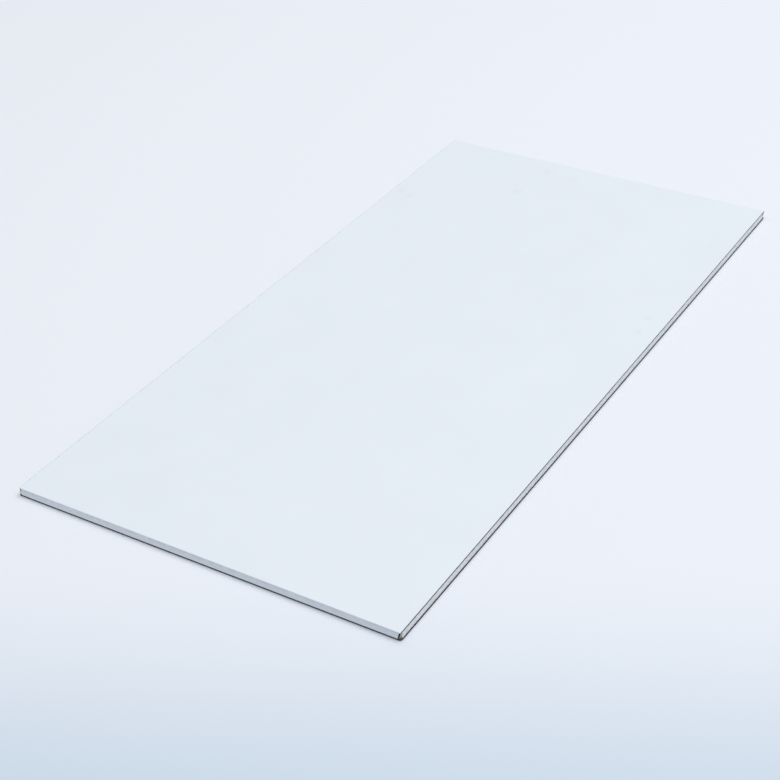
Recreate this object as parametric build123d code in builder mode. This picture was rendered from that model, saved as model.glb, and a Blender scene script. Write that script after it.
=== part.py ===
from build123d import *
import os

os.makedirs("parts", exist_ok=True)

# A lay-in ceiling tile lying face up. X runs along its short side and Y along its long side,
# and the middle of its back is the origin. Sizes are in millimetres.

# The sheet
tile_width = 595.0
tile_length = 1195.0
tile_thickness = 13.0

# The white facing, folded down over the two short edges
facing_thickness = 0.6
fold_radius = 0.8

# The two long edges, where the facing is cut off at a slant and the board lies behind both its papers
facing_slant = 0.8
saw_setback = 0.6

# The foot, where the liner of the back is turned up a little, with its corners worn round
liner_rise = 2.2
back_ease = 0.6
foot_corner_radius = 3.5

# The corners, where the fold stops short of the long edge and leaves a small open notch
notch_width = 1.6
notch_depth = 3.0
notch_foot = 5.0
notch_height = 6.0

# Worked out from the sizes above
board_width = tile_width - 2 * saw_setback
board_top = tile_thickness - facing_thickness

with BuildPart() as ceiling_tile:
    # Section across the tile: sawn edges, a little behind the facing's cut ends and the turned-up liner
    with BuildSketch(Plane.XZ) as cross_section:
        with BuildLine():
            Polyline(
                (0, 0),
                (tile_width / 2, 0),
                (tile_width / 2, liner_rise),
                (board_width / 2, liner_rise),
                (board_width / 2, board_top),
                (tile_width / 2, board_top),
                (tile_width / 2 - facing_slant, tile_thickness),
                (0, tile_thickness),
            )
            mirror(about=Plane.YZ)
        make_face()
    extrude(amount=tile_length / 2, both=True)

    # Section along the tile: the facing folded over both short edges
    with BuildSketch(Plane.YZ) as long_section:
        Rectangle(tile_length, tile_thickness, align=(Align.CENTER, Align.MIN))
        fillet(long_section.vertices().group_by(Axis.Y)[-1], fold_radius)
    extrude(amount=tile_width / 2, both=True, mode=Mode.INTERSECT)

    # Notches at the four corners, open to both edges, with the fold's end above them
    with BuildSketch(Plane.XY.offset(notch_foot)):
        with GridLocations(tile_width, tile_length, 2, 2):
            Rectangle(2 * notch_width, 2 * notch_depth)
    extrude(amount=notch_height, mode=Mode.SUBTRACT)

    # Worn corners under the notches: what lies outside the rounded outline of the foot
    with BuildSketch(Plane.XY):
        Rectangle(tile_width, tile_length)
        RectangleRounded(tile_width, tile_length, foot_corner_radius, mode=Mode.SUBTRACT)
    extrude(amount=notch_foot, mode=Mode.SUBTRACT)

    # Eased arris round the back
    chamfer(ceiling_tile.faces().sort_by(Axis.Z)[0].edges(), back_ease)

ceiling_tile.part.label = "ceiling_tile"
export_step(ceiling_tile.part, "parts/ceiling_tile.step")
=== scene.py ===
import math
from collections import namedtuple

import bmesh
import bpy
from mathutils import Matrix, Vector


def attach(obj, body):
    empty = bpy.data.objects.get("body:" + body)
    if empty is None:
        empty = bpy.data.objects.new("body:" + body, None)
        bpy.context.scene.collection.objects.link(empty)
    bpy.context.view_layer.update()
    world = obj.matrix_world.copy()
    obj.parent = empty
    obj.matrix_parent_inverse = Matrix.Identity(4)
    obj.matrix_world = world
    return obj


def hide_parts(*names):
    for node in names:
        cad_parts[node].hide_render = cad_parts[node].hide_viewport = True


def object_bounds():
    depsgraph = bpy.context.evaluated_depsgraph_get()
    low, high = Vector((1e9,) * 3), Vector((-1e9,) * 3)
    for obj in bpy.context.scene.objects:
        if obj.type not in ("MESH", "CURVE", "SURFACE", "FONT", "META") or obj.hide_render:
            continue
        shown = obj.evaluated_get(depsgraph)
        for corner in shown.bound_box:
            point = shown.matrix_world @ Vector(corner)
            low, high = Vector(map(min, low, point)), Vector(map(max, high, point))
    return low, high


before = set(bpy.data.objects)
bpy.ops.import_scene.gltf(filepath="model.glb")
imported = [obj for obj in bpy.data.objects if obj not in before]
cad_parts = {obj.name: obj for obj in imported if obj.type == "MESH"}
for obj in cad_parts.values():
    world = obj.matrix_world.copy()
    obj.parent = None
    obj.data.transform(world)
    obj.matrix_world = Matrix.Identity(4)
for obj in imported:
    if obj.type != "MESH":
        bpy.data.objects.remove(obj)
cad_low, cad_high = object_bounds()

MM = 0.001
TINY = 0.01 * MM
SMOOTH_ANGLE = math.radians(20)

# How much of a direction lies along an axis when an edge or face is aligned with it, square on to it or
# edge on to it
ALIGNED = 0.9
SQUARE_ON = 0.95
EDGE_ON = 0.1

# The tile's own sizes, from the frame
HALF_WIDTH = cad_high.x
HALF_LENGTH = cad_high.y
THICKNESS = cad_high.z

# Facing: film on paper, folded down over the short edges and cut off at a slant along the long ones
FACING = 0.6 * MM
FOLD_RADIUS = 0.8 * MM
FOLD_STEPS = 6
FACING_SLANT = 0.8 * MM
CUT_PITCH = 1.5 * MM
CUT_RAGGED = 0.5 * MM
CUT_LUMP = 4 * MM

# Board: sawn, and lying a little behind both its papers
SAW_SETBACK = 0.6 * MM
SAWN_PITCH = 1.2 * MM
SAWN_DEPTH = 0.25 * MM
SAW_MARK = 9 * MM
PIT_SIZE = 1.6 * MM
LIP_SHADE_DEPTH = 2.5 * MM
BOARD_HALF_WIDTH = HALF_WIDTH - SAW_SETBACK
BOARD_TOP = THICKNESS - FACING

# Liner: the paper on the back, turned up a little over the foot
LINER = SAW_SETBACK
LINER_RISE = 2.2 * MM
LINER_RAGGED = 0.5 * MM
LINER_LUMP = 6 * MM
BACK_EASE = 0.6 * MM

# Corners, where the fold stops short of the long edge and leaves a notch: each one's side and end, the
# radius that it is worn to, and the notch's width, depth, foot and top. The first has been knocked: its
# paper is torn, its whole height is worn, and its notch leans out, with a post of board outside it
Corner = namedtuple("Corner", "side end radius width depth foot top post lean", defaults=(0, 0))
CORNERS = [
    Corner(1, -1, 3.5 * MM, 5.0 * MM, 2.6 * MM, 4.5 * MM, 10.5 * MM, post=3.2 * MM, lean=1.6 * MM),
    Corner(-1, -1, 1.5 * MM, 3.6 * MM, 0.9 * MM, 6.0 * MM, 12.0 * MM),
    Corner(1, 1, 5.0 * MM, 1.8 * MM, 7.0 * MM, 7.0 * MM, 12.6 * MM),
    Corner(-1, 1, 3.5 * MM, 3.0 * MM, 2.0 * MM, 6.0 * MM, 11.5 * MM),
]
KNOCKED = CORNERS[0]
CORNER_STEPS = 6
CORNER_REACH = max(corner.radius for corner in CORNERS)
FOLD_WEAR = 0.8 * MM
TORN_REACH = 6.5 * MM

# Faint scuffs on the face: place across and along it, and reach
SCUFFS = [
    (266 * MM, 195 * MM, 14 * MM),
    (267 * MM, 150 * MM, 12 * MM),
    (-105 * MM, 468 * MM, 16 * MM),
    (-36 * MM, 552 * MM, 14 * MM),
    (-90 * MM, 562 * MM, 14 * MM),
    (-282 * MM, 380 * MM, 14 * MM),
    (-258 * MM, 371 * MM, 12 * MM),
]

# Patterns of the finishes: the size of one mark as it is drawn, or its sizes across, along and upright, and
# the depth of its relief
FILM_CLOUD = 120 * MM
FILM_BLOTCH = 7 * MM
EMBOSS = 1.2 * MM
EMBOSS_DEPTH = 0.1 * MM
CUT_STREAK = (2 * MM, 14 * MM, 0.5 * MM)
CUT_FUZZ_DEPTH = 0.2 * MM
TORN_FLAKE = (2 * MM, 2 * MM, 0.6 * MM)
TORN_FLAKE_DEPTH = 0.4 * MM
NOTCH_SHADE_PATCH = 1 * MM
GYPSUM_MOTTLE = 8 * MM
PORE_PITCH = 3 * MM
SAW_STREAK = (1000 * MM, 2.5 * MM, 40 * MM)
SAW_STREAK_DEPTH = 0.3 * MM
LINER_CLOUD = 25 * MM
LINER_FIBRE = (0.5 * MM, 3 * MM, 0.5 * MM)
LINER_NAP_DEPTH = 0.1 * MM

# Where the painted shade on the fold, dust and the painted shade at the foot start, end or are full, as
# heights, and how far from the knocked corner the liner is rubbed
FOLD_SHADE_END = 4 * MM
DUST_START = 3.5 * MM
DUST_FULL = 7 * MM
FOOT_SHADE_START = 0.05 * MM
FOOT_SHADE_FULL = 0.5 * MM
RUBBED_FULL = 3 * MM
RUBBED_END = 9 * MM

# Sockets of a Mix node for colours, by number, because its other kinds use the same names
MIX_SHARE, MIX_FROM, MIX_TO = 0, 6, 7
MIXED = 2

# Camera, solved from the corners of the face in the picture
AZIMUTH = math.radians(32.176)
ELEVATION = math.radians(33.903)
ROLL = math.radians(2.164)
LENS_MM = 78.819
SENSOR_MM = 36
DISTANCE = 2.4501
TARGET = Vector((0.0202, -0.1610, THICKNESS))

# Light, and the floor, whose colour darkens towards the front of the picture as painted shade where the
# light falls off
SKY_STRENGTH = 0.50
KEY_DIRECTION = Vector((0.20, 0.16, 1.0))
KEY_DISTANCE = 8.0
KEY_SIZE = 7.0
KEY_POWER = 430
FLOOR_SIZE = 30
FLOOR_DROP = 0.05 * MM
FLOOR_FADE_AZIMUTH = math.radians(27.5)
FLOOR_FADE_START = -0.50
FLOOR_FADE_END = -1.12


def linear(hex_colour):
    """An sRGB colour such as C0FFEE as linear red, green, blue and alpha."""
    shares = [int(hex_colour[i : i + 2], 16) / 255 for i in (0, 2, 4)]
    return [c / 12.92 if c <= 0.04045 else ((c + 0.055) / 1.055) ** 2.4 for c in shares] + [1]


def add(tree, kind, inputs=None, **settings):
    """Adds a shader node, gives it its settings, and sets or links its inputs."""
    new = tree.nodes.new("ShaderNode" + kind)
    for name, value in settings.items():
        setattr(new, name, value)
    for name, value in (inputs or {}).items():
        if isinstance(value, bpy.types.NodeSocket):
            tree.links.new(value, new.inputs[name])
        else:
            new.inputs[name].default_value = value
    return new


def start_box(name, low, high):
    """A box between two corners, with its place in its mesh, in edit mode: the start of a piece."""
    bpy.ops.object.select_all(action="DESELECT")
    bpy.ops.mesh.primitive_cube_add(size=1, location=[(a + b) / 2 for a, b in zip(low, high)])
    piece = bpy.context.object
    piece.name = name
    piece.data.name = name
    piece.scale = [b - a for a, b in zip(low, high)]
    bpy.ops.object.transform_apply(location=True, rotation=True, scale=True)
    bpy.ops.object.mode_set(mode="EDIT")
    return piece


def pick(kind, test):
    """Selects the points, edges or faces whose middle and direction pass the test."""
    bpy.ops.mesh.select_mode(type=kind)
    bpy.ops.mesh.select_all(action="DESELECT")
    mesh = bmesh.from_edit_mesh(bpy.context.object.data)
    if kind == "VERT":
        found = [v for v in mesh.verts if test(v.co, v.normal)]
    elif kind == "EDGE":
        found = []
        for edge in mesh.edges:
            a, b = [v.co for v in edge.verts]
            if test((a + b) / 2, (b - a).normalized()):
                found.append(edge)
    else:
        found = [f for f in mesh.faces if test(f.calc_center_median(), f.normal)]
    for part in found:
        part.select_set(True)
    mesh.select_flush_mode()
    bmesh.update_edit_mesh(bpy.context.object.data)


def divide(test, parts):
    """Divides the edges that pass the test into at least a number of parts, in two passes."""
    for _ in range(2):
        pick("EDGE", test)
        bpy.ops.mesh.subdivide(number_cuts=math.ceil(math.sqrt(parts)) - 1)


def round_corners(corners):
    """Rounds the upright edges of a box at some of the tile's corners, each to its radius."""
    for corner in corners:
        pick(
            "EDGE",
            lambda at, along: abs(along.z) > ALIGNED and at.x * corner.side > 0 and at.y * corner.end > 0,
        )
        bpy.ops.mesh.bevel(offset=corner.radius, segments=CORNER_STEPS, affect="EDGES")


def cut(place, normal):
    """Cuts the selected faces along a plane."""
    bpy.ops.mesh.bisect(plane_co=place, plane_no=Vector(normal).normalized(), threshold=TINY)


def keep_group(name):
    """Keeps the selected points as a group for a modifier."""
    bpy.ops.object.vertex_group_assign_new()
    bpy.context.object.vertex_groups[-1].name = name


def modify(kind, **settings):
    """Adds a modifier to the piece in hand, gives it its settings and applies it."""
    if bpy.context.object.mode == "EDIT":
        bpy.ops.object.mode_set(mode="OBJECT")
    bpy.ops.object.modifier_add(type=kind)
    modifier = bpy.context.object.modifiers[-1]
    for name, value in settings.items():
        setattr(modifier, name, value)
    bpy.ops.object.modifier_apply(modifier=modifier.name)


def carve(piece, cutter):
    """Cuts one piece out of another and removes the cutter."""
    bpy.ops.object.mode_set(mode="OBJECT")
    bpy.ops.object.select_all(action="DESELECT")
    bpy.context.view_layer.objects.active = piece
    piece.select_set(True)
    modify("BOOLEAN", operation="DIFFERENCE", solver="EXACT", material_mode="TRANSFER", object=cutter)
    bpy.data.objects.remove(cutter)


def lumps(name, size, depth=2):
    """A cloudy relief with lumps of about a given size."""
    relief = bpy.data.textures.new(name, "CLOUDS")
    relief.noise_scale = size
    relief.noise_depth = depth
    return relief


def make_facing():
    """The white skin: the face and both folded edges as one bent sheet."""
    facing = start_box(
        "facing",
        (FACING_SLANT - HALF_WIDTH, -HALF_LENGTH, LINER_RISE),
        (HALF_WIDTH - FACING_SLANT, HALF_LENGTH, THICKNESS),
    )
    pick("EDGE", lambda at, along: abs(along.x) > ALIGNED and at.z > THICKNESS - TINY)
    bpy.ops.mesh.bevel(offset=FOLD_RADIUS, segments=FOLD_STEPS, affect="EDGES")
    pick("FACE", lambda at, out: abs(out.x) > ALIGNED or out.z < -ALIGNED)
    bpy.ops.mesh.delete(type="FACE")

    # The fold stops short of the long edges, and is worn away further at its foot
    for corner in CORNERS:
        wear = max(FOLD_WEAR, corner.radius - corner.width)
        place = Vector((corner.side * (HALF_WIDTH - corner.width), 0, corner.foot))
        upper = Vector((corner.side * (corner.top - corner.foot), 0, -corner.lean))
        lower = Vector((corner.side * (corner.foot - LINER_RISE), 0, -wear))
        for normal in (upper, lower):
            pick("FACE", lambda at, out: out.y * corner.end > SQUARE_ON)
            cut(place, normal)
            pick("FACE", lambda at, out: out.y * corner.end > SQUARE_ON and (at - place).dot(normal) > 0)
            bpy.ops.mesh.delete(type="FACE")

    divide(
        lambda at, along: abs(along.y) > ALIGNED and abs(at.y) < HALF_LENGTH - FOLD_RADIUS,
        2 * HALF_LENGTH / CUT_PITCH,
    )
    bpy.ops.object.mode_set(mode="OBJECT")
    facing.vertex_groups.new(name="inner")
    facing.data.materials.append(white_vinyl_film())
    facing.data.materials.append(cut_paper())
    modify(
        "SOLIDIFY",
        thickness=FACING,
        offset=-1,
        material_offset=1,
        material_offset_rim=1,
        shell_vertex_group="inner",
    )

    # Slanted, uneven cut along both long edges
    bpy.ops.object.mode_set(mode="EDIT")
    mesh = bmesh.from_edit_mesh(facing.data)
    weights = mesh.verts.layers.deform.verify()
    inner = {tuple(v.co) for v in mesh.verts if len(v[weights])}
    edge = HALF_WIDTH - FACING_SLANT - TINY
    cuts = {"left_cut": -1, "right_cut": 1}
    for name, side in cuts.items():
        pick("VERT", lambda at, out: at.x * side > edge and tuple(at) in inner)
        bpy.ops.transform.translate(value=(side * FACING_SLANT, 0, 0))
        pick("VERT", lambda at, out: at.x * side > edge)
        keep_group(name)
    ragged = lumps("ragged_cut", CUT_LUMP)
    for name, side in cuts.items():
        modify(
            "DISPLACE",
            texture=ragged,
            texture_coords="LOCAL",
            direction="X",
            mid_level=1,
            strength=side * CUT_RAGGED,
            vertex_group=name,
        )
    bpy.ops.object.shade_smooth_by_angle(angle=SMOOTH_ANGLE)
    return facing


def make_board():
    """The gypsum between the skins, with its long edges as the saw left them."""
    board = start_box(
        "gypsum_board",
        (-BOARD_HALF_WIDTH, FACING - HALF_LENGTH, LINER),
        (BOARD_HALF_WIDTH, HALF_LENGTH - FACING, BOARD_TOP),
    )
    pick("EDGE", lambda at, along: at.z < LINER + TINY)
    bpy.ops.mesh.bevel(offset=BACK_EASE, segments=1, affect="EDGES")
    divide(lambda at, along: abs(along.y) > ALIGNED, 2 * HALF_LENGTH / SAWN_PITCH)
    divide(lambda at, along: abs(along.z) > ALIGNED, THICKNESS / SAWN_PITCH)
    pick("FACE", lambda at, out: out.y * KNOCKED.end > ALIGNED)
    cut((KNOCKED.side * (HALF_WIDTH - TORN_REACH), 0, 0), (1, 0, 0))
    board.data.materials.append(sawn_gypsum())
    torn = torn_paper()
    board.data.materials.append(torn)

    # Worn corners: a ring with a rounded inner corner takes off what stands outside it, up to the middle of
    # the notch, or over the whole height at the knocked one
    for corner in CORNERS:
        top = 2 * THICKNESS if corner is KNOCKED else (corner.foot + corner.top) / 2
        bpy.ops.object.mode_set(mode="OBJECT")
        ring = start_box(
            "ring",
            (-BOARD_HALF_WIDTH - TINY, FACING - HALF_LENGTH - TINY, -THICKNESS),
            (BOARD_HALF_WIDTH + TINY, HALF_LENGTH - FACING + TINY, top),
        )
        round_corners([corner])
        pick("FACE", lambda at, out: abs(out.z) > ALIGNED)
        bpy.ops.mesh.delete(type="FACE")
        ring.data.materials.append(torn)
        modify("SOLIDIFY", thickness=THICKNESS, offset=1, use_even_offset=True)
        carve(board, ring)

    # The bare end of the board beside the knocked one is torn too
    bpy.ops.object.mode_set(mode="EDIT")
    pick(
        "FACE",
        lambda at, out: at.x * KNOCKED.side > HALF_WIDTH - TORN_REACH
        and at.y * KNOCKED.end > HALF_LENGTH - TORN_REACH
        and abs(out.z) < EDGE_ON
        and abs(out.x) < SQUARE_ON,
    )
    board.active_material_index = 1
    bpy.ops.object.material_slot_assign()

    # Notches, their insides coloured dark as painted shade
    bpy.ops.object.mode_set(mode="OBJECT")
    shade_in_notches = painted_notch_shade()
    for corner in CORNERS:
        sides = (corner.side * (HALF_WIDTH - corner.width), corner.side * (HALF_WIDTH - corner.post))
        ends = (corner.end * (HALF_LENGTH - corner.depth), corner.end * HALF_LENGTH)
        notch = start_box(
            "notch",
            (min(sides), min(ends), corner.foot),
            (max(sides), max(ends), corner.top),
        )
        pick("VERT", lambda at, out: at.z > corner.top - TINY)
        bpy.ops.transform.translate(value=(corner.side * corner.lean, 0, 0))
        notch.data.materials.append(shade_in_notches)
        carve(board, notch)

    # Sawn faces: shallow saw marks and small pits, always inwards
    bpy.ops.object.mode_set(mode="EDIT")
    pick("FACE", lambda at, out: abs(out.x) > SQUARE_ON and abs(at.x) > BOARD_HALF_WIDTH - TINY)
    keep_group("sawn")
    for relief in (lumps("saw_marks", SAW_MARK), lumps("pits", PIT_SIZE, depth=0)):
        modify(
            "DISPLACE",
            texture=relief,
            texture_coords="LOCAL",
            direction="NORMAL",
            mid_level=1,
            strength=SAWN_DEPTH,
            vertex_group="sawn",
        )
    bpy.ops.object.shade_smooth_by_angle(angle=SMOOTH_ANGLE)
    return board


def make_liner():
    """The paper on the back, a shallow tray turned up over the foot of the board."""
    liner = start_box("back_liner", (-HALF_WIDTH, -HALF_LENGTH, 0), (HALF_WIDTH, HALF_LENGTH, LINER_RISE))
    round_corners(CORNERS)
    pick("EDGE", lambda at, along: at.z < TINY)
    bpy.ops.mesh.bevel(offset=BACK_EASE, segments=2, affect="EDGES")
    pick("FACE", lambda at, out: out.z > ALIGNED)
    bpy.ops.mesh.delete(type="FACE")
    divide(
        lambda at, along: abs(along.y) > ALIGNED and abs(at.y) < HALF_LENGTH - CORNER_REACH,
        2 * HALF_LENGTH / CUT_PITCH,
    )
    liner.data.materials.append(liner_paper())
    modify("SOLIDIFY", thickness=LINER, offset=-1)

    # Uneven upper edge along the sawn sides
    bpy.ops.object.mode_set(mode="EDIT")
    pick(
        "VERT",
        lambda at, out: at.z > LINER_RISE - TINY
        and abs(at.x) > BOARD_HALF_WIDTH - TINY
        and abs(at.y) < HALF_LENGTH - CORNER_REACH,
    )
    keep_group("upper_edge")
    modify(
        "DISPLACE",
        texture=lumps("ragged_liner", LINER_LUMP),
        texture_coords="LOCAL",
        direction="Z",
        mid_level=1,
        strength=LINER_RAGGED,
        vertex_group="upper_edge",
    )
    bpy.ops.object.shade_smooth_by_angle(angle=SMOOTH_ANGLE)
    return liner


def start_material(name):
    """A material with no nodes yet, and its node tree."""
    material = bpy.data.materials.new(name)
    material.use_nodes = True
    material.node_tree.nodes.clear()
    return material, material.node_tree


def knocked_end_share(tree, place, most):
    """A share that falls from the most at the knocked end to none at the other."""
    along = add(tree, "SeparateXYZ", {"Vector": place})
    share = add(
        tree,
        "MapRange",
        {
            "Value": along.outputs["Y"],
            "From Min": KNOCKED.end * HALF_LENGTH,
            "From Max": -KNOCKED.end * HALF_LENGTH,
            "To Min": most,
            "To Max": 0,
        },
    )
    return share.outputs["Result"]


def white_vinyl_film():
    """Calendered vinyl film: an even cool white with no gloss, a fine emboss and a few faint scuffs."""
    film, tree = start_material("white_vinyl_film")
    place = add(tree, "TexCoord").outputs["Object"]

    # Very faint clouds, a hand's breadth across
    clouds = add(tree, "TexNoise", {"Vector": place, "Scale": 1 / FILM_CLOUD, "Detail": 3})
    tone = add(
        tree,
        "Mix",
        {MIX_SHARE: clouds.outputs["Fac"], MIX_FROM: linear("E0E8F1"), MIX_TO: linear("E5EDF6")},
        data_type="RGBA",
    )
    for x, y, reach in SCUFFS:
        gap = add(tree, "VectorMath", {0: place, 1: (x, y, THICKNESS)}, operation="DISTANCE")
        share = add(
            tree,
            "MapRange",
            {"Value": gap.outputs["Value"], "From Max": reach, "To Min": 0.25, "To Max": 0},
            interpolation_type="SMOOTHSTEP",
        )
        tone = add(
            tree,
            "Mix",
            {MIX_SHARE: share.outputs["Result"], MIX_FROM: tone.outputs[MIXED], MIX_TO: linear("D2DBE4")},
            data_type="RGBA",
        )

    # Over the fold the film is darker in uneven blotches, the most near the top and less towards the foot:
    # painted shade
    height = add(tree, "SeparateXYZ", {"Vector": place}).outputs["Z"]
    folded = add(
        tree,
        "MapRange",
        {"Value": height, "From Min": THICKNESS - FOLD_RADIUS / 4, "From Max": THICKNESS - FOLD_RADIUS},
    )
    fold_shade = add(tree, "MapRange", {"Value": height, "From Min": FOLD_SHADE_END, "From Max": THICKNESS})
    blotches = add(tree, "TexNoise", {"Vector": place, "Scale": 1 / FILM_BLOTCH, "Detail": 2})
    dull = add(
        tree,
        "MapRange",
        {"Value": blotches.outputs["Fac"], "From Min": 0.35, "From Max": 0.65, "To Min": 0.3, "To Max": 1},
    )
    share = add(
        tree, "Math", {0: folded.outputs["Result"], 1: fold_shade.outputs["Result"]}, operation="MULTIPLY"
    )
    share = add(tree, "Math", {0: share.outputs["Value"], 1: dull.outputs["Result"]}, operation="MULTIPLY")
    tone = add(
        tree,
        "Mix",
        {MIX_SHARE: share.outputs["Value"], MIX_FROM: tone.outputs[MIXED], MIX_TO: linear("CAD3DC")},
        data_type="RGBA",
    )

    # The emboss is about 0.4 mm fine, drawn three times as coarse so that it shows
    emboss = add(tree, "TexNoise", {"Vector": place, "Scale": 1 / EMBOSS, "Detail": 1})
    grain = add(tree, "Bump", {"Height": emboss.outputs["Fac"], "Strength": 0.2, "Distance": EMBOSS_DEPTH})
    shader = add(
        tree,
        "BsdfPrincipled",
        {
            "Base Color": tone.outputs[MIXED],
            "Roughness": 0.55,
            "IOR": 1.53,
            "Normal": grain.outputs["Normal"],
        },
    )
    add(tree, "OutputMaterial", {"Surface": shader.outputs["BSDF"]})
    return film


def cut_paper():
    """Grey recycled paper seen on its cut end: dark, streaked along the cut and fuzzy."""
    paper, tree = start_material("cut_paper")
    place = add(tree, "TexCoord").outputs["Object"]
    stretched = add(tree, "Mapping", {"Vector": place, "Scale": [1 / size for size in CUT_STREAK]})
    streaks = add(tree, "TexNoise", {"Vector": stretched.outputs["Vector"], "Scale": 1, "Detail": 4})
    share = add(
        tree, "MapRange", {"Value": streaks.outputs["Fac"], "From Min": 0.35, "From Max": 0.65}
    )
    tone = add(
        tree,
        "Mix",
        {MIX_SHARE: share.outputs["Result"], MIX_FROM: linear("37342F"), MIX_TO: linear("7E7B78")},
        data_type="RGBA",
    )
    tone = add(
        tree,
        "Mix",
        {MIX_SHARE: knocked_end_share(tree, place, 0.7), MIX_FROM: tone.outputs[MIXED], MIX_TO: linear("1C1A18")},
        data_type="RGBA",
    )
    fuzz = add(
        tree, "Bump", {"Height": streaks.outputs["Fac"], "Strength": 0.5, "Distance": CUT_FUZZ_DEPTH}
    )
    shader = add(
        tree,
        "BsdfPrincipled",
        {
            "Base Color": tone.outputs[MIXED],
            "Roughness": 0.9,
            "IOR": 1.5,
            "Normal": fuzz.outputs["Normal"],
        },
    )
    add(tree, "OutputMaterial", {"Surface": shader.outputs["BSDF"]})
    return paper


def torn_paper():
    """Paper layers laid bare in the worn corners: brown and flaky at the foot, white with dust above."""
    paper, tree = start_material("torn_paper")
    place = add(tree, "TexCoord").outputs["Object"]
    layers = add(tree, "Mapping", {"Vector": place, "Scale": [1 / size for size in TORN_FLAKE]})
    flakes = add(tree, "TexNoise", {"Vector": layers.outputs["Vector"], "Scale": 1, "Detail": 3})
    brown = add(
        tree,
        "Mix",
        {MIX_SHARE: flakes.outputs["Fac"], MIX_FROM: linear("5A4E42"), MIX_TO: linear("9A8D7C")},
        data_type="RGBA",
    )
    dusty = add(
        tree,
        "Mix",
        {MIX_SHARE: flakes.outputs["Fac"], MIX_FROM: linear("8E8F8A"), MIX_TO: linear("C4C6C4")},
        data_type="RGBA",
    )
    height = add(tree, "SeparateXYZ", {"Vector": place})
    dust = add(
        tree, "MapRange", {"Value": height.outputs["Z"], "From Min": DUST_START, "From Max": DUST_FULL}
    )
    tone = add(
        tree,
        "Mix",
        {MIX_SHARE: dust.outputs["Result"], MIX_FROM: brown.outputs[MIXED], MIX_TO: dusty.outputs[MIXED]},
        data_type="RGBA",
    )
    tears = add(
        tree, "Bump", {"Height": flakes.outputs["Fac"], "Strength": 0.6, "Distance": TORN_FLAKE_DEPTH}
    )
    shader = add(
        tree,
        "BsdfPrincipled",
        {
            "Base Color": tone.outputs[MIXED],
            "Roughness": 0.9,
            "IOR": 1.5,
            "Normal": tears.outputs["Normal"],
        },
    )
    add(tree, "OutputMaterial", {"Surface": shader.outputs["BSDF"]})
    return paper


def painted_notch_shade():
    """Painted shade in the notches: almost black on the knocked side, grey on the other."""
    paper, tree = start_material("painted_notch_shade")
    place = add(tree, "TexCoord").outputs["Object"]
    shade_patches = add(tree, "TexNoise", {"Vector": place, "Scale": 1 / NOTCH_SHADE_PATCH, "Detail": 2})
    grey = add(
        tree,
        "Mix",
        {MIX_SHARE: shade_patches.outputs["Fac"], MIX_FROM: linear("54565A"), MIX_TO: linear("808286")},
        data_type="RGBA",
    )
    black = add(
        tree,
        "Mix",
        {MIX_SHARE: shade_patches.outputs["Fac"], MIX_FROM: linear("060504"), MIX_TO: linear("1A1714")},
        data_type="RGBA",
    )
    across = add(tree, "SeparateXYZ", {"Vector": place})
    away = add(
        tree,
        "MapRange",
        {
            "Value": across.outputs["X"],
            "From Min": KNOCKED.side * HALF_WIDTH,
            "From Max": -KNOCKED.side * HALF_WIDTH,
        },
    )
    tone = add(
        tree,
        "Mix",
        {MIX_SHARE: away.outputs["Result"], MIX_FROM: black.outputs[MIXED], MIX_TO: grey.outputs[MIXED]},
        data_type="RGBA",
    )
    shader = add(tree, "BsdfPrincipled", {"Base Color": tone.outputs[MIXED], "Roughness": 0.95, "IOR": 1.5})
    add(tree, "OutputMaterial", {"Surface": shader.outputs["BSDF"]})
    return paper


def sawn_gypsum():
    """Foamed gypsum as the saw leaves it: chalky and dull, mottled, with open pores and saw streaks."""
    gypsum, tree = start_material("sawn_gypsum")
    place = add(tree, "TexCoord").outputs["Object"]
    mottle = add(
        tree,
        "TexNoise",
        {"Vector": place, "Scale": 1 / GYPSUM_MOTTLE, "Detail": 3, "Roughness": 0.6},
    )
    share = add(tree, "MapRange", {"Value": mottle.outputs["Fac"], "From Min": 0.3, "From Max": 0.7})
    tone = add(
        tree,
        "Mix",
        {MIX_SHARE: share.outputs["Result"], MIX_FROM: linear("DBE0E8"), MIX_TO: linear("F2F5FA")},
        data_type="RGBA",
    )

    # Pores are 0.2 to 1 mm, drawn at the upper end so that they show
    pores = add(tree, "TexVoronoi", {"Vector": place, "Scale": 1 / PORE_PITCH})
    open_share = add(
        tree,
        "MapRange",
        {"Value": pores.outputs["Distance"], "From Min": 0.12, "From Max": 0.3, "To Min": 0.6, "To Max": 0},
    )
    tone = add(
        tree,
        "Mix",
        {MIX_SHARE: open_share.outputs["Result"], MIX_FROM: tone.outputs[MIXED], MIX_TO: linear("8C8B88")},
        data_type="RGBA",
    )

    # Painted shade just under the facing's overhanging edge, the most at the knocked end
    height = add(tree, "SeparateXYZ", {"Vector": place})
    under = add(
        tree,
        "MapRange",
        {"Value": height.outputs["Z"], "From Min": BOARD_TOP - LIP_SHADE_DEPTH, "From Max": BOARD_TOP},
        interpolation_type="SMOOTHSTEP",
    )
    lip_shade = add(
        tree, "Math", {0: under.outputs["Result"], 1: knocked_end_share(tree, place, 0.8)}, operation="MULTIPLY"
    )
    tone = add(
        tree,
        "Mix",
        {MIX_SHARE: lip_shade.outputs["Value"], MIX_FROM: tone.outputs[MIXED], MIX_TO: linear("6C6F77")},
        data_type="RGBA",
    )

    # Upright streaks from the saw's teeth
    upright = add(tree, "Mapping", {"Vector": place, "Scale": [1 / size for size in SAW_STREAK]})
    streaks = add(tree, "TexNoise", {"Vector": upright.outputs["Vector"], "Scale": 1, "Detail": 2})
    marks = add(
        tree, "Bump", {"Height": streaks.outputs["Fac"], "Strength": 0.6, "Distance": SAW_STREAK_DEPTH}
    )
    shader = add(
        tree,
        "BsdfPrincipled",
        {
            "Base Color": tone.outputs[MIXED],
            "Roughness": 0.95,
            "IOR": 1.52,
            "Normal": marks.outputs["Normal"],
        },
    )
    add(tree, "OutputMaterial", {"Surface": shader.outputs["BSDF"]})
    return gypsum


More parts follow.
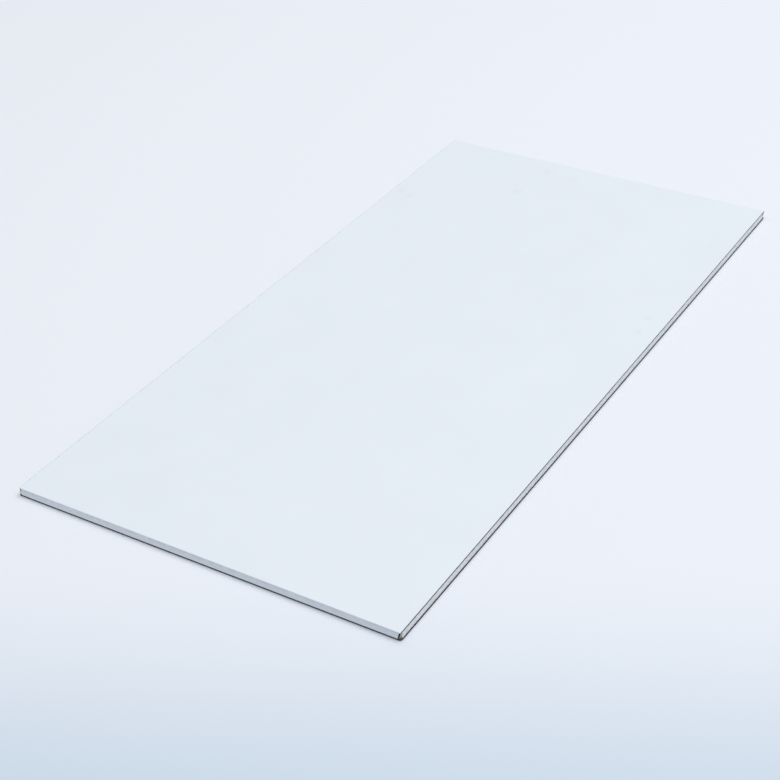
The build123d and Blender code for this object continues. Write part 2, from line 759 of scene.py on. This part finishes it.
def liner_paper():
    """Grey-brown recycled liner: flecked and fibrous, and near black with painted shade where it is turned
    up over the foot.
    """
    paper, tree = start_material("liner_paper")
    place = add(tree, "TexCoord").outputs["Object"]
    clouds = add(tree, "TexNoise", {"Vector": place, "Scale": 1 / LINER_CLOUD, "Detail": 4})
    tone = add(
        tree,
        "Mix",
        {MIX_SHARE: clouds.outputs["Fac"], MIX_FROM: linear("6A6158"), MIX_TO: linear("82796F")},
        data_type="RGBA",
    )

    # Fibres run along the sheet, 2 to 3 mm long and drawn 0.5 mm thick so that they show
    drawn = add(tree, "Mapping", {"Vector": place, "Scale": [1 / size for size in LINER_FIBRE]})
    fibres = add(tree, "TexNoise", {"Vector": drawn.outputs["Vector"], "Scale": 1, "Detail": 3})
    fleck = add(
        tree,
        "MapRange",
        {"Value": fibres.outputs["Fac"], "From Min": 0.58, "From Max": 0.72, "To Max": 0.5},
    )
    tone = add(
        tree,
        "Mix",
        {MIX_SHARE: fleck.outputs["Result"], MIX_FROM: tone.outputs[MIXED], MIX_TO: linear("3E3832")},
        data_type="RGBA",
    )
    # Painted shade at the foot: the turned-up liner is near black from just above the floor, darkest at the
    # knocked end
    height = add(tree, "SeparateXYZ", {"Vector": place})
    foot_shade = add(
        tree,
        "MapRange",
        {"Value": height.outputs["Z"], "From Min": FOOT_SHADE_START, "From Max": FOOT_SHADE_FULL},
    )
    foot_shade_tone = add(
        tree,
        "Mix",
        {MIX_SHARE: knocked_end_share(tree, place, 1), MIX_FROM: linear("2A2C30"), MIX_TO: linear("0E1013")},
        data_type="RGBA",
    )
    tone = add(
        tree,
        "Mix",
        {MIX_SHARE: foot_shade.outputs["Result"], MIX_FROM: tone.outputs[MIXED], MIX_TO: foot_shade_tone.outputs[MIXED]},
        data_type="RGBA",
    )

    # Rubbed brown again at the knocked corner
    corner = (KNOCKED.side * HALF_WIDTH, KNOCKED.end * HALF_LENGTH, LINER_RISE)
    gap = add(tree, "VectorMath", {0: place, 1: corner}, operation="DISTANCE")
    rubbed = add(
        tree,
        "MapRange",
        {
            "Value": gap.outputs["Value"],
            "From Min": RUBBED_FULL,
            "From Max": RUBBED_END,
            "To Min": 0.8,
            "To Max": 0,
        },
    )
    tone = add(
        tree,
        "Mix",
        {MIX_SHARE: rubbed.outputs["Result"], MIX_FROM: tone.outputs[MIXED], MIX_TO: linear("5E5247")},
        data_type="RGBA",
    )
    nap = add(tree, "Bump", {"Height": fibres.outputs["Fac"], "Strength": 0.3, "Distance": LINER_NAP_DEPTH})
    shader = add(
        tree,
        "BsdfPrincipled",
        {
            "Base Color": tone.outputs[MIXED],
            "Roughness": 0.85,
            "IOR": 1.5,
            "Normal": nap.outputs["Normal"],
        },
    )
    add(tree, "OutputMaterial", {"Surface": shader.outputs["BSDF"]})
    return paper


def make_floor():
    """A pale floor whose colour darkens towards the front: painted shade where the light falls off."""
    bpy.ops.object.select_all(action="DESELECT")
    bpy.ops.mesh.primitive_plane_add(size=FLOOR_SIZE, location=(0, 0, -FLOOR_DROP))
    floor = bpy.context.object
    floor.name = "floor"
    paint, tree = start_material("floor_paint")
    place = add(tree, "TexCoord").outputs["Object"]
    away = (-math.sin(FLOOR_FADE_AZIMUTH), math.cos(FLOOR_FADE_AZIMUTH), 0)
    along = add(tree, "VectorMath", {0: place, 1: away}, operation="DOT_PRODUCT")
    fade = add(
        tree,
        "MapRange",
        {"Value": along.outputs["Value"], "From Min": FLOOR_FADE_START, "From Max": FLOOR_FADE_END},
        interpolation_type="SMOOTHSTEP",
    )
    tone = add(
        tree,
        "Mix",
        {MIX_SHARE: fade.outputs["Result"], MIX_FROM: linear("E9EEF6"), MIX_TO: linear("BFD1E3")},
        data_type="RGBA",
    )
    shader = add(
        tree,
        "BsdfPrincipled",
        {"Base Color": tone.outputs[MIXED], "Roughness": 0.9, "Specular IOR Level": 0.2},
    )
    add(tree, "OutputMaterial", {"Surface": shader.outputs["BSDF"]})
    floor.data.materials.append(paint)


def make_light():
    """An even pale sky and one soft lamp, high behind the tile on its right."""
    world = bpy.data.worlds.new("studio")
    bpy.context.scene.world = world
    world.use_nodes = True
    sky = world.node_tree.nodes["Background"]
    sky.inputs["Color"].default_value = linear("FFFFFF")
    sky.inputs["Strength"].default_value = SKY_STRENGTH
    lamp = bpy.data.lights.new("key", "AREA")
    lamp.shape = "SQUARE"
    lamp.size = KEY_SIZE
    lamp.energy = KEY_POWER
    key = bpy.data.objects.new("key", lamp)
    key.location = KEY_DIRECTION.normalized() * KEY_DISTANCE
    key.rotation_euler = KEY_DIRECTION.to_track_quat("Z", "Y").to_euler()
    bpy.context.scene.collection.objects.link(key)


def make_camera():
    """The camera at the picture's place and angle."""
    lens = bpy.data.cameras.new("camera")
    lens.lens = LENS_MM
    lens.sensor_width = SENSOR_MM
    camera = bpy.data.objects.new("camera", lens)
    turn = (
        Matrix.Rotation(AZIMUTH, 4, "Z")
        @ Matrix.Rotation(math.pi / 2 - ELEVATION, 4, "X")
        @ Matrix.Rotation(-ROLL, 4, "Z")
    )
    back = turn @ Vector((0, 0, 1))
    camera.matrix_world = Matrix.Translation(TARGET + DISTANCE * back) @ turn
    bpy.context.scene.collection.objects.link(camera)
    bpy.context.scene.camera = camera


finishes = {make_facing: "white_film", make_board: "sawn_gypsum", make_liner: "liner_paper"}
for make, finish in finishes.items():
    piece = make()
    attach(piece, "root")
    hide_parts("ceiling_tile")
make_floor()
make_light()
make_camera()
bpy.context.scene.view_settings.view_transform = "Standard"
